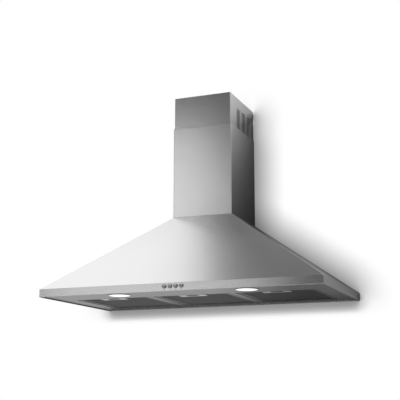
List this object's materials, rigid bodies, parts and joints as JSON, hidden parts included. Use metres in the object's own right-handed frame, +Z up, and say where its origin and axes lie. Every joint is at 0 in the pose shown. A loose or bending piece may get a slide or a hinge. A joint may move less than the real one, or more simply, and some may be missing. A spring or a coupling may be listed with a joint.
{
  "type": "wall mount range hood",
  "caption": "Wall-mounted pyramid chimney hood with a telescopic vented chimney, push-buttons, lamps, latched grease filters and a ducted blower.",
  "frame": {"origin": "on the wall plane, in the middle of the canopy's lower edge", "axes": "+X along the wall to the viewer's right, +Y into the wall, +Z up"},
  "size_m": [0.898, 0.4715, 0.671],
  "materials": {
    "brushed_steel": "brushed stainless steel",
    "galvanised_steel": "galvanised sheet",
    "black_steel": "black powder coat",
    "polished_steel": "polished",
    "lamp_glass": "frosted, lit",
    "lamp_aluminium": "die-cast",
    "filter_aluminium": "satin",
    "filter_mesh": "expanded mesh",
    "latch_steel": "satin",
    "spring_steel": "drawn wire",
    "zinc_screws": "zinc plated",
    "blower_plastic": "moulded",
    "motor_steel": "plain steel can",
    "switch_plastic": "moulded",
    "board_laminate": "circuit board",
    "control_plastic": "moulded",
    "capacitor_shell": "moulded",
    "black_rubber": "moulded",
    "lead_sheath": "extruded sheath"
  },
  "bodies": {
    "hood_body": {"canopy": "brushed_steel", "bottom_panel": "brushed_steel", "lower_chimney": "brushed_steel", "back_panel": "galvanised_steel", "motor_cradle": "galvanised_steel", "lead_clips": "galvanised_steel", "lamp_bezel_left": "polished_steel", "lamp_bezel_right": "polished_steel", "lamp_lens_left": "lamp_glass", "lamp_lens_right": "lamp_glass", "lamp_body_left": "lamp_aluminium", "lamp_body_right": "lamp_aluminium", "button_springs": "spring_steel", "lamp_clips": "spring_steel", "damper_pin": "spring_steel", "chimney_screws": "zinc_screws", "blower_screws": "zinc_screws", "motor_screws": "zinc_screws", "scroll_left": "blower_plastic", "scroll_right": "blower_plastic", "outlet_collar": "blower_plastic", "motor": "motor_steel", "switch_housing": "switch_plastic", "switch_board": "board_laminate", "control_box": "control_plastic", "control_cover": "control_plastic", "run_capacitor": "capacitor_shell", "motor_grommets": "black_rubber", "cable_gland": "black_rubber", "lamp_leads": "lead_sheath", "switch_lead": "lead_sheath", "motor_lead": "lead_sheath"},
    "upper_chimney_body": {"upper_chimney": "brushed_steel", "chimney_bracket": "black_steel", "bracket_screws": "zinc_screws", "chimney_glides": "switch_plastic"},
    "fan_wheel": {"impeller": "blower_plastic", "motor_shaft": "spring_steel", "impeller_nut": "zinc_screws"},
    "flap_left": {"damper_flap_left": "blower_plastic"},
    "flap_right": {"damper_flap_right": "blower_plastic"},
    "push_light": {"button_light": "polished_steel"},
    "push_speed_1": {"button_speed_1": "polished_steel"},
    "push_speed_2": {"button_speed_2": "polished_steel"},
    "push_speed_3": {"button_speed_3": "polished_steel"},
    "filter_left": {"filter_frame_left": "filter_aluminium", "filter_mesh_left": "filter_mesh", "latch_plate_left": "latch_steel", "latch_springs_left": "spring_steel"},
    "latch_left": {"latch_slide_left": "latch_steel"},
    "filter_centre": {"filter_frame_centre": "filter_aluminium", "filter_mesh_centre": "filter_mesh", "latch_plate_centre": "latch_steel", "latch_springs_centre": "spring_steel"},
    "latch_centre": {"latch_slide_centre": "latch_steel"},
    "filter_right": {"filter_frame_right": "filter_aluminium", "filter_mesh_right": "filter_mesh", "latch_plate_right": "latch_steel", "latch_springs_right": "spring_steel"},
    "latch_right": {"latch_slide_right": "latch_steel"}
  },
  "joints": [
    {"name": "chimney_slide", "type": "slide", "parent": "hood_body", "child": "upper_chimney_body", "axis": [0, 0, 1], "range_m": [-0.07, 0.14]},
    {"name": "fan_spin", "type": "hinge", "parent": "hood_body", "child": "fan_wheel", "pos_m": [0, -0.159, 0.122], "axis": [1, 0, 0], "continuous": true},
    {"name": "flap_left_hinge", "type": "hinge", "parent": "hood_body", "child": "flap_left", "pos_m": [0, -0.117, 0.2843], "axis": [0, 1, 0], "range_deg": [0, 80]},
    {"name": "flap_right_hinge", "type": "hinge", "parent": "hood_body", "child": "flap_right", "pos_m": [0, -0.117, 0.2843], "axis": [0, -1, 0], "range_deg": [0, 80]},
    {"name": "press_light", "type": "slide", "parent": "hood_body", "child": "push_light", "axis": [0, 1, 0], "range_m": [0, 0.004], "stiffness_N_per_m": 300, "springref_m": -0.004, "deforming": ["button_springs"]},
    {"name": "press_speed_1", "type": "slide", "parent": "hood_body", "child": "push_speed_1", "axis": [0, 1, 0], "range_m": [0, 0.004], "stiffness_N_per_m": 300, "springref_m": -0.004, "deforming": ["button_springs"]},
    {"name": "press_speed_2", "type": "slide", "parent": "hood_body", "child": "push_speed_2", "axis": [0, 1, 0], "range_m": [0, 0.004], "stiffness_N_per_m": 300, "springref_m": -0.004, "deforming": ["button_springs"]},
    {"name": "press_speed_3", "type": "slide", "parent": "hood_body", "child": "push_speed_3", "axis": [0, 1, 0], "range_m": [0, 0.004], "stiffness_N_per_m": 300, "springref_m": -0.004, "deforming": ["button_springs"]},
    {"name": "filter_left_swing", "type": "hinge", "parent": "hood_body", "child": "filter_left", "pos_m": [-0.2685, -0.045, 0.004], "axis": [1, 0, 0], "range_deg": [0, 75]},
    {"name": "latch_left_draw", "type": "slide", "parent": "filter_left", "child": "latch_left", "axis": [0, 1, 0], "range_m": [0, 0.006], "stiffness_N_per_m": 250, "springref_m": -0.004, "deforming": ["latch_springs_left"]},
    {"name": "filter_centre_swing", "type": "hinge", "parent": "hood_body", "child": "filter_centre", "pos_m": [0, -0.045, 0.004], "axis": [1, 0, 0], "range_deg": [0, 75]},
    {"name": "latch_centre_draw", "type": "slide", "parent": "filter_centre", "child": "latch_centre", "axis": [0, 1, 0], "range_m": [0, 0.006], "stiffness_N_per_m": 250, "springref_m": -0.004, "deforming": ["latch_springs_centre"]},
    {"name": "filter_right_swing", "type": "hinge", "parent": "hood_body", "child": "filter_right", "pos_m": [0.2685, -0.045, 0.004], "axis": [1, 0, 0], "range_deg": [0, 75]},
    {"name": "latch_right_draw", "type": "slide", "parent": "filter_right", "child": "latch_right", "axis": [0, 1, 0], "range_m": [0, 0.006], "stiffness_N_per_m": 250, "springref_m": -0.004, "deforming": ["latch_springs_right"]}
  ]
}
